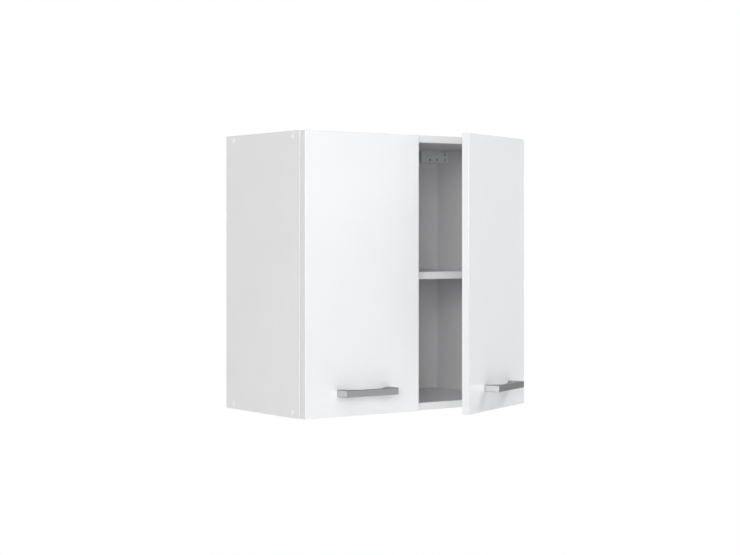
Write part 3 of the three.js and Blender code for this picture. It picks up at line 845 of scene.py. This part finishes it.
def add_shelf_pins():
    """Turned pins with a collar, flat on top where the shelf lies."""
    for name, side in SIDES.items():
        for row, spot in pin_places().items():
            node = f"{name}_{row}_shelf_pin"
            low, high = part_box(node)
            length = high.x - low.x
            wall = PIN_HOLE_DEPTH - SEAT_GAP
            collar = wall + PIN_COLLAR_FROM_WALL
            collar_end = collar + PIN_COLLAR_THICKNESS
            r = PIN_TIP_RADIUS
            profile = [(0, 0), (PIN_RADIUS, 0), (PIN_RADIUS, collar), (PIN_COLLAR_RADIUS, collar)]
            profile += [(PIN_COLLAR_RADIUS, collar_end), (PIN_RADIUS, collar_end)]
            profile += arc((PIN_RADIUS - r, length - r), r, 0, 90, FEW_STEPS) + [(0, length)]
            origin = (side * (INNER_HALF_WIDTH + wall), spot.y, spot.z)
            pin = lathe(profile, origin, (-side, 0, 0), SMALL_ROUND)
            spare = Vector((CUT_OVERRUN, CUT_OVERRUN, 0))
            base = Vector((low.x, low.y, high.z))
            above = box(base - spare, high + spare + Vector((0, 0, PIN_FLAT_CUT)))
            add_piece(f"{name}_{row}_shelf_peg", cut(pin, [above]), "carcass", [NICKEL], [node])


# Doors and handles

def handle_box(side):
    """The handle's low and high corners on a shut door."""
    low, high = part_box("left_handle")
    xs = sorted((-side * low.x, -side * high.x))
    return Vector((xs[0], low.y, low.z)), Vector((xs[1], high.y, high.z))


def handle_screw_places(side):
    """The outer and the inner screw of a handle on a shut door."""
    low, high = handle_box(side)
    z = (low.z + high.z) / 2
    xs = sorted((low.x + HANDLE_HOLE_FROM_END, high.x - HANDLE_HOLE_FROM_END), key=abs, reverse=True)
    return dict(zip(("outer", "inner"), (Vector((x, 0, z)) for x in xs)))


def hinge_height(end):
    """The height of a hinge's middle."""
    low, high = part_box(f"left_{end}_hinge_cup")
    return (low.z + high.z) / 2


def cup_inward():
    """How far a cup's centre lies from the door's outer edge."""
    low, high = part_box("left_upper_hinge_cup")
    return (low.x + high.x) / 2 + DOOR_EDGE


def add_door(name, side):
    """A door leaf with pockets for its hinge cups and holes for its handle."""
    body, turn = f"{name}_door", door_turn(name)
    a = door_point(side, 0, 0, LEAF_LOW.z)
    b = door_point(side, DOOR_WIDTH, DOOR_THICKNESS, LEAF_HIGH.z)
    leaf = soften(box(a, b), DOOR_EDGE_RADIUS, CORNER_STEPS,
                  lambda edge: max(v.co.y for v in edge.verts) < DOOR_FRONT + NEAR_PLANE)
    leaf = soften(leaf, DOOR_REAR_EDGE_RADIUS)
    behind, pocket_floor = DOOR_REAR + CUT_OVERRUN, DOOR_REAR - CUP_POCKET_DEPTH
    tools = []
    for end in ENDS:
        centre = door_point(side, cup_inward(), 0, hinge_height(end))
        tools.append(rod(1, CUP_POCKET_RADIUS, behind, pocket_floor, centre, ROUND))
    for spot in handle_screw_places(side).values():
        tools.append(rod(1, HANDLE_SCREW_HOLE, DOOR_FRONT - CUT_OVERRUN, behind, spot))

    def surface_of(face):
        """Gloss in front, plain melamine behind and the band on the edges."""
        if face.normal.y < -DOOR_FRONT_FACING:
            return 0
        return 1 if face.normal.y > DOOR_REAR_FACING else 2

    add_piece(f"{name}_gloss_door", cut(leaf, tools), body,
              [GLOSS, DOOR_REAR_WHITE, DOOR_BAND], [f"{name}_door_leaf"], turn, surface_of)


def handle_outline(low, high):
    """A handle from above: its rear slopes from each foot to the bar through a round bend."""
    middle = (low.x + high.x) / 2
    foot = (high.x - low.x) / 2 - HANDLE_FOOT
    bar_rear = low.y + HANDLE_BAR
    slope = math.atan2(high.y - bar_rear, HANDLE_SLOPE_RUN)
    bend_end = foot - HANDLE_SLOPE_RUN - HANDLE_BEND_RADIUS * math.tan(slope / 2)
    bend_y = bar_rear + HANDLE_BEND_RADIUS
    tilt = math.degrees(slope)
    outline = [(low.x, high.y), (low.x, low.y), (high.x, low.y), (high.x, high.y)]
    outline += [(middle + foot, high.y)]
    outline += arc((middle + bend_end, bend_y), HANDLE_BEND_RADIUS, tilt - 90, -90, BEND_STEPS)
    outline += arc((middle - bend_end, bend_y), HANDLE_BEND_RADIUS, -90, -90 - tilt, BEND_STEPS)
    return outline + [(middle - foot, high.y)]


def add_handle(name, side):
    """A bar handle with a bore in each foot, and its two screws."""
    body, turn = f"{name}_door", door_turn(name)
    low, high = handle_box(side)
    grip = prism(handle_outline(low, high), low.z, high.z, 2)
    grip = soften(grip, HANDLE_EDGE_RADIUS, FEW_STEPS)
    bores = [
        rod(1, HANDLE_SCREW_HOLE, high.y + CUT_OVERRUN, high.y - HANDLE_BORE_DEPTH, spot)
        for spot in handle_screw_places(side).values()
    ]

    def surface_of(face):
        """Satin metal darkened above and below as painted shade, rougher metal painted lighter at the ends
        as a painted highlight, and satin metal elsewhere.
        """
        # Top and bottom faces get the darker copy of the metal, which is painted shade
        if abs(face.normal.z) > FACING:
            return 1
        x = face.calc_center_median().x
        at_end = x < low.x + HANDLE_FOOT or x > high.x - HANDLE_FOOT
        # End faces get the lighter copy of the metal, which is a painted highlight
        return 2 if at_end and abs(face.normal.x) > HANDLE_END_FACING else 0

    add_piece(f"{name}_bar_handle", cut(grip, bores), body,
              [HANDLE_METAL, HANDLE_PAINTED_SHADE, HANDLE_END_PAINTED_HIGHLIGHT], [f"{name}_handle"], turn, surface_of)
    for place, spot in handle_screw_places(side).items():
        origin = (spot.x, DOOR_REAR + SEAT_GAP, spot.z)
        screw = screw_mesh(origin, (0, 1, 0), *HANDLE_SCREW, DOOR_THICKNESS + HANDLE_BORE_DEPTH)
        add_piece(f"{name}_{place}_handle_fixing", screw, body, [ZINC],
                  [f"{name}_handle_{place}_screw"], turn)


def add_bumpers(name, side):
    """Soft clear domes that keep a shut door off the carcass."""
    body, turn = f"{name}_door", door_turn(name)
    for end in ENDS:
        low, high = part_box(f"left_{end}_door_bumper")
        radius, height = (high.x - low.x) / 2, high.y - low.y
        centre = Vector((-side * (low.x + high.x) / 2, low.y, (low.z + high.z) / 2))
        edge = height * BUMPER_EDGE_SHARE
        dome = arc((radius - edge, height - edge), edge, 0, 90)
        bumper = lathe([(0, 0), (radius, 0)] + dome + [(0, height)], centre, (0, 1, 0), SMALL_ROUND)
        add_piece(f"{name}_{end}_soft_bumper", bumper, body, [CLEAR],
                  [f"{name}_{end}_door_bumper"], turn)


# Hinges

def cup_profile():
    """A cup's section as (radius, height) points: its hollow, its flange and its outside."""
    hollow, rim = CUP_RADIUS - CUP_WALL, CUP_FLANGE_RADIUS
    floor = CUP_WALL - CUP_DEPTH
    rear = SEAT_GAP + CUP_FLANGE_THICKNESS
    f, bevel = CUP_FILLET, CUP_FLANGE_BEVEL
    profile = [(0, floor)] + arc((hollow - f, floor + f), f, -90, 0)
    profile += [(hollow, rear), (rim - bevel, rear), (rim, rear - bevel)]
    profile += [(rim, SEAT_GAP), (CUP_RADIUS, SEAT_GAP)]
    return profile + arc((CUP_RADIUS - f, f - CUP_DEPTH), f, 0, -90) + [(0, -CUP_DEPTH)]


def add_cup(name, side, end):
    """The cup in the door: a bowl with a flange, and a wing with a wood screw above and below."""
    body, turn = f"{name}_door", door_turn(name)
    z = hinge_height(end)
    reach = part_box(f"left_{end}_hinge_cup")[1].z - z
    centre = door_point(side, cup_inward(), 0, z)
    bowl = lathe(cup_profile(), centre, (0, 1, 0))
    wing_x = side * (DOOR_EDGE - cup_inward() - CUP_WING_OFFSET)
    half = CUP_WING_HALF_WIDTH
    outline = rounded_outline((wing_x - half, z - reach), (wing_x + half, z + reach), CUP_WING_CORNER)
    wing_rear = DOOR_REAR + SEAT_GAP + CUP_FLANGE_THICKNESS
    wings = prism(outline, DOOR_REAR + SEAT_GAP, wing_rear, 1)
    under, over = DOOR_REAR - CUT_OVERRUN, wing_rear + CUT_OVERRUN
    mouth = rod(1, CUP_RADIUS - CUP_WALL / 2, under, over, centre, ROUND)
    spots = [(wing_x, wing_rear - SEAT_GAP, z + s * CUP_SCREW_SPACING / 2) for s in (-1, 1)]
    holes = [rod(1, CUP_SCREW_HOLE, under, over, spot) for spot in spots]
    shell = join([bowl, cut(wings, [mouth] + holes)])
    add_piece(f"{name}_{end}_cup_bowl", shell, body, [NICKEL], [f"{name}_{end}_hinge_cup"], turn)
    screws = screw_set(spots, (0, 1, 0), CUP_SCREW)
    add_piece(f"{name}_{end}_cup_screws", screws, body, [ZINC], place=turn)


def arm_strip(pin_x, inner, front, rear):
    """The arm's sheet from above: from the pin across the front, round the bend and back to the rear."""
    outer = inner + ARM_SHEET
    nose_rear = front + ARM_NOSE_SHEET
    r = ARM_BEND_RADIUS
    bend = r + ARM_SHEET
    strip = [(pin_x, nose_rear)]
    strip += arc((outer + r, nose_rear + r), r, 270, 180)
    strip += [(outer, rear), (inner, rear)]
    strip += arc((inner + bend, front + bend), bend, 180, 270)
    return strip + [(pin_x, front)]


def arm_channel(inner, half):
    """The arm's channel from the front: a sheet with a low cheek along each long edge."""
    outer = inner + ARM_SHEET
    lip = outer + ARM_CHEEK_HEIGHT
    c = ARM_CHEEK_SHEET
    channel = [(inner, -half + c), (inner, half - c)]
    channel += arc((inner + c, half - c), c, 180, 90, FEW_STEPS)
    channel += [(lip, half), (lip, half - c), (outer, half - c), (outer, -half + c)]
    channel += [(lip, -half + c), (lip, -half)]
    return channel + arc((inner + c, -half + c), c, 270, 180, FEW_STEPS)[:-1]


def add_arm(name, side, end):
    """The arm: a bent nose that reaches into the cup, and a channel with two setting screws."""
    low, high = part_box(f"left_{end}_hinge_arm")
    z = hinge_height(end)
    pin_low, pin_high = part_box(f"left_{end}_hinge_pin")
    pivot = (pin_low + pin_high) / 2
    at_pin = (-side * pivot.x, pivot.y, 0)
    inner = -high.x
    front = CARCASS_FRONT + ARM_NOSE_LENGTH
    w = ARM_NOSE_HALF_WIDTH
    strip = arm_strip(-pivot.x, inner, low.y, high.y)
    sheet = prism([(side * x, y) for x, y in strip], z - w, z + w, 2)
    knuckle = rod(2, KNUCKLE_RADIUS, z - w, z + w, at_pin)
    eye = rod(2, EYE_RADIUS, z - w - CUT_OVERRUN, z + w + CUT_OVERRUN, at_pin)
    channel = arm_channel(inner, (high.z - low.z) / 2)
    shell = prism([(side * x, z + h) for x, h in channel], front, high.y, 1)
    seat = side * (inner + ARM_SHEET * ARM_SCREW_SEAT_SHARE)
    spots = [(seat, front + back, z) for back in ARM_SCREWS_FROM_FRONT]
    start, stop = side * (inner - CUT_OVERRUN), side * (inner + ARM_SHEET + CUT_OVERRUN)
    holes = [rod(0, ARM_SCREW_HOLE, start, stop, spot) for spot in spots]
    arm = cut(join([sheet, knuckle, shell]), [eye] + holes)
    add_piece(f"{name}_{end}_hinge_link", arm, "carcass", [NICKEL], [f"{name}_{end}_hinge_arm"])
    screws = screw_set(spots, (-side, 0, 0), ARM_SCREW)
    add_piece(f"{name}_{end}_setting_screws", screws, "carcass", [ZINC])


def add_plate(name, side, end):
    """The mounting plate under the arm, with a rounded wing and a wood screw above and below."""
    low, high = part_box(f"left_{end}_hinge_plate")
    z = hinge_height(end)
    panel, top = -low.x, -high.x
    y = (low.y + high.y) / 2
    reach = high.z - z
    h = PLATE_CORE_HALF_WIDTH
    outline = rounded_outline((low.y, z - h), (high.y, z + h), PLATE_CORE_CORNER)
    core = soften(prism(outline, side * panel, side * top, 0), PLATE_CORE_EDGE_RADIUS)
    wing_top = panel - PLATE_WING_THICKNESS
    half = PLATE_WING_HALF_LENGTH
    outline = rounded_outline((y - half, z - reach), (y + half, z + reach), PLATE_WING_CORNER)
    wing = soften(prism(outline, side * panel, side * wing_top, 0), PLATE_WING_EDGE_RADIUS)
    spots = [(side * wing_top, y, z + s * PLATE_HOLE_SPACING / 2) for s in (-1, 1)]
    holes = [rod(0, PLATE_HOLE, side * (panel + CUT_OVERRUN), side * top, spot) for spot in spots]
    plate = cut(join([core, wing]), holes)
    add_piece(f"{name}_{end}_hinge_base", plate, "carcass", [NICKEL],
              [f"{name}_{end}_hinge_plate"])
    screws = screw_set(spots, (-side, 0, 0), PLATE_SCREW)
    add_piece(f"{name}_{end}_base_screws", screws, "carcass", [ZINC])


# Hangers

def hanger_hull(side, low, high, front):
    """The hanger's case: a box of sheet steel with round corners, open to the rear."""
    t = HANGER_SHEET
    left, right = sorted((inward_x(side, 0), inward_x(side, high.x - low.x)))
    outline = rounded_outline((left, low.z), (right, high.z), HANGER_CORNER)
    hull = soften(prism(outline, front, high.y, 1), HANGER_FRONT_RADIUS, FEW_STEPS,
                  lambda edge: max(v.co.y for v in edge.verts) < front + NEAR_PLANE)
    outline = rounded_outline((left + t, low.z + t), (right - t, high.z - t), HANGER_CORNER - t)
    return cut(hull, [prism(outline, front + t, high.y + CUT_OVERRUN, 1)])


def hanger_flange(side, front, rear, top):
    """The flange on the side panel, whose two front corners are round."""
    r = HANGER_FLANGE_CORNER
    bottom = top - HANGER_FLANGE_HEIGHT
    outline = [(rear, bottom), (rear, top)]
    outline += arc((front + r, top - r), r, 90, 180)
    outline += arc((front + r, bottom + r), r, 180, 270)
    return prism(outline, inward_x(side, 0), inward_x(side, HANGER_FLANGE_THICKNESS), 0)


def add_hanger(name, side):
    """The hanger: a case in the upper corner, its flange on the side panel, and four screws."""
    low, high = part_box("left_hanger_case")
    front = BACK_LOW.y - HANGER_DEPTH
    inner_front = front + HANGER_SHEET
    flange_top = high.z - HANGER_FLANGE_DROP
    flange = hanger_flange(side, low.y, inner_front, flange_top)
    access_spots = [
        (inward_x(side, HANGER_ACCESS_FROM_SIDE + step), inner_front, high.z - HANGER_ACCESS_DROP)
        for step in (0, HANGER_ACCESS_SPACING)
    ]
    first = flange_top - HANGER_FLANGE_SCREW_DROP
    flange_spots = [
        (inward_x(side, HANGER_FLANGE_THICKNESS), front - HANGER_FLANGE_SCREW_INSET, first - step)
        for step in (0, HANGER_FLANGE_SCREW_SPACING)
    ]
    start, stop = front - CUT_OVERRUN, inner_front + CUT_OVERRUN
    holes = [rod(1, HANGER_ACCESS_RADIUS, start, stop, spot) for spot in access_spots]
    start, stop = inward_x(side, -CUT_OVERRUN), inward_x(side, HANGER_FLANGE_THICKNESS + CUT_OVERRUN)
    holes += [rod(0, HANGER_FLANGE_HOLE, start, stop, spot) for spot in flange_spots]
    case = cut(join([hanger_hull(side, low, high, front), flange]), holes)
    # The flange's faces get the lighter copy of the zinc, which is painted light; the case keeps the pale
    # zinc
    add_piece(f"{name}_hanger_shell", case, "carcass", [PALE_ZINC, FLANGE_PAINTED_LIGHT_ZINC],
              [f"{name}_hanger_case"],
              pick=lambda face: 1 if face.calc_center_median().y < front - NEAR_PLANE else 0)
    screws = screw_set(access_spots, (0, -1, 0), ACCESS_SCREW)
    add_piece(f"{name}_hanger_setting_screws", screws, "carcass", [DARK_STEEL])
    screws = screw_set(flange_spots, (-side, 0, 0), FLANGE_SCREW)
    add_piece(f"{name}_hanger_fixings", screws, "carcass", [PALE_STEEL])


def add_hook(name):
    """The hook: a plate inside the case, and an arm through the back with a tooth down behind it."""
    low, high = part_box(f"{name}_hanger_hook")
    middle = (low.x + high.x) / 2
    half = HOOK_ARM_WIDTH / 2
    arm_top = INNER_HALF_HEIGHT - HOOK_ARM_DROP
    arm_bottom = arm_top - HOOK_ARM_HEIGHT
    plate_middle = (arm_top + arm_bottom) / 2
    plate_half = HOOK_PLATE_HEIGHT / 2
    front, rear = low.y, high.y
    outline = rounded_outline(
        (low.x, plate_middle - plate_half), (high.x, plate_middle + plate_half), HOOK_PLATE_CORNER)
    plate = prism(outline, front, front + HOOK_PLATE_THICKNESS, 1)
    tooth_front = rear - HOOK_TOOTH_THICKNESS
    bevel, r = HOOK_TOOTH_BEVEL, HOOK_BEND_RADIUS
    side_view = [(front, arm_bottom), (tooth_front, arm_bottom), (tooth_front, low.z + bevel)]
    side_view += [(tooth_front + bevel, low.z), (rear, low.z)]
    side_view += arc((rear - r, arm_top - r), r, 0, 90) + [(front, arm_top)]
    arm = prism(side_view, middle - half, middle + half, 0)
    hook = soften(join([plate, arm]), HOOK_EDGE_RADIUS)
    add_piece(f"{name}_rail_hook", hook, f"{name}_hook", [ZINC], [f"{name}_hanger_hook"])


def finish_kept_nodes():
    """The case screws and hinge pins keep their frame meshes and get their metal."""
    for obj in frame["nodes"].values():
        if not obj.hide_render:
            obj.data.materials.clear()
            obj.data.materials.append(ZINC)


# Stage, light and camera

def background_level(s, direction, otherwise):
    """How bright the white background is for a ray: full for the camera, uneven where it is mirrored.

    Mirrored, it is lighter towards the cabinet's left and dim overhead. Other rays get the third value.
    """
    towards = s.add("ShaderNodeSeparateXYZ", {"Vector": direction}).outputs
    sideways = s.math("MULTIPLY_ADD", towards[0], -MIRRORED_LEFT_GAIN, MIRRORED_MEAN)
    overhead = s.ramp(towards[2], 1.0, MIRRORED_OVERHEAD, *OVERHEAD_FADE)
    mirrored = s.math("MULTIPLY", sideways, overhead)
    path = s.add("ShaderNodeLightPath").outputs
    seen = s.math("MAXIMUM", path["Is Camera Ray"], path["Is Transmission Ray"])
    level = s.math("MULTIPLY_ADD", seen, 1 - otherwise, otherwise)
    extra = s.math("SUBTRACT", mirrored, otherwise)
    return s.math("MULTIPLY_ADD", path["Is Glossy Ray"], extra, level)


def add_floor():
    """A pale floor that fades to the white background away from the cabinet."""
    s = Shading("pale_floor")
    distance = s.add("ShaderNodeVectorMath", {0: s.place}, operation="LENGTH").outputs["Value"]
    away = s.add("ShaderNodeVectorMath", {0: s.place}, operation="NORMALIZE").outputs["Vector"]
    fade = s.ramp(distance, FLOOR_FADE_START, 1.0, *FLOOR_FADE)
    level = background_level(s, away, 0.0)
    path = s.add("ShaderNodeLightPath").outputs
    shown = s.math("MAXIMUM", path["Is Camera Ray"], path["Is Glossy Ray"])
    shown = s.math("MAXIMUM", shown, path["Is Transmission Ray"])
    matt = s.add("ShaderNodeBsdfDiffuse", {"Color": rgb(0.85, 0.85, 0.85)})
    glow = s.add("ShaderNodeEmission", {"Color": rgb(1, 1, 1), "Strength": level})
    factor = s.math("MULTIPLY", fade, shown)
    both = s.add("ShaderNodeMixShader", {0: factor, 1: matt.outputs[0], 2: glow.outputs[0]})
    s.tree.links.new(both.outputs[0], s.output.inputs["Surface"])
    bm = bmesh.new()
    bmesh.ops.create_grid(bm, x_segments=1, y_segments=1, size=FLOOR_SIZE / 2)
    mesh = bpy.data.meshes.new("floor")
    bm.to_mesh(mesh)
    bm.free()
    mesh.materials.append(s.material)
    floor = new_object("floor", mesh)
    floor.location = (0, 0, FLOOR_HEIGHT)


def set_world():
    """The same white background beyond the floor, which also gives an even light from all round."""
    world = bpy.data.worlds.new("studio")
    world.use_nodes = True
    bpy.context.scene.world = world
    s = Shading.of_tree(world.node_tree)
    direction = s.add("ShaderNodeTexCoord").outputs["Generated"]
    level = background_level(s, direction, AMBIENT)
    glow = s.add("ShaderNodeBackground", {"Color": rgb(1, 1, 1), "Strength": level})
    output = s.add("ShaderNodeOutputWorld")
    s.tree.links.new(glow.outputs[0], output.inputs["Surface"])


def add_lamp(name, power, size, azimuth, elevation):
    """A square area light aimed at the origin. Azimuth goes from the cabinet's front to its left."""
    light = bpy.data.lights.new(name, "AREA")
    light.energy = power
    light.size = size
    obj = new_object(name, light)
    around, up = math.radians(azimuth), math.radians(elevation)
    flat = LAMP_DISTANCE * math.cos(up)
    obj.location = (-flat * math.sin(around), -flat * math.cos(around), LAMP_DISTANCE * math.sin(up))
    obj.rotation_euler = (-obj.location).to_track_quat("-Z", "Y").to_euler()


def add_camera():
    """The photograph's view: level, with the horizon moved in the frame by a vertical shift."""
    camera = bpy.data.cameras.new("camera")
    camera.sensor_width = SENSOR
    camera.lens = FOCAL_PIXELS / PICTURE_WIDTH * SENSOR
    camera.shift_y = (HORIZON_ROW - PICTURE_HEIGHT / 2) / PICTURE_WIDTH
    camera.clip_end = FAR_CLIP
    obj = new_object("camera", camera)
    obj.location = CAMERA_PLACE
    obj.rotation_euler = (math.pi / 2, 0, -CAMERA_YAW)
    bpy.context.scene.camera = obj


add_camera()
add_side_boards()
add_cross_boards()
add_shelf()
add_back()
add_caps()
add_shelf_pins()
for side_name, side_sign in SIDES.items():
    add_door(side_name, side_sign)
    add_handle(side_name, side_sign)
    add_bumpers(side_name, side_sign)
    add_hanger(side_name, side_sign)
    add_hook(side_name)
    for end_name in ENDS:
        add_cup(side_name, side_sign, end_name)
        add_arm(side_name, side_sign, end_name)
        add_plate(side_name, side_sign, end_name)
finish_kept_nodes()
add_floor()
set_world()
for lamp_name, lamp_values in LAMPS.items():
    add_lamp(lamp_name, *lamp_values)
bpy.context.scene.view_settings.view_transform = "Standard"
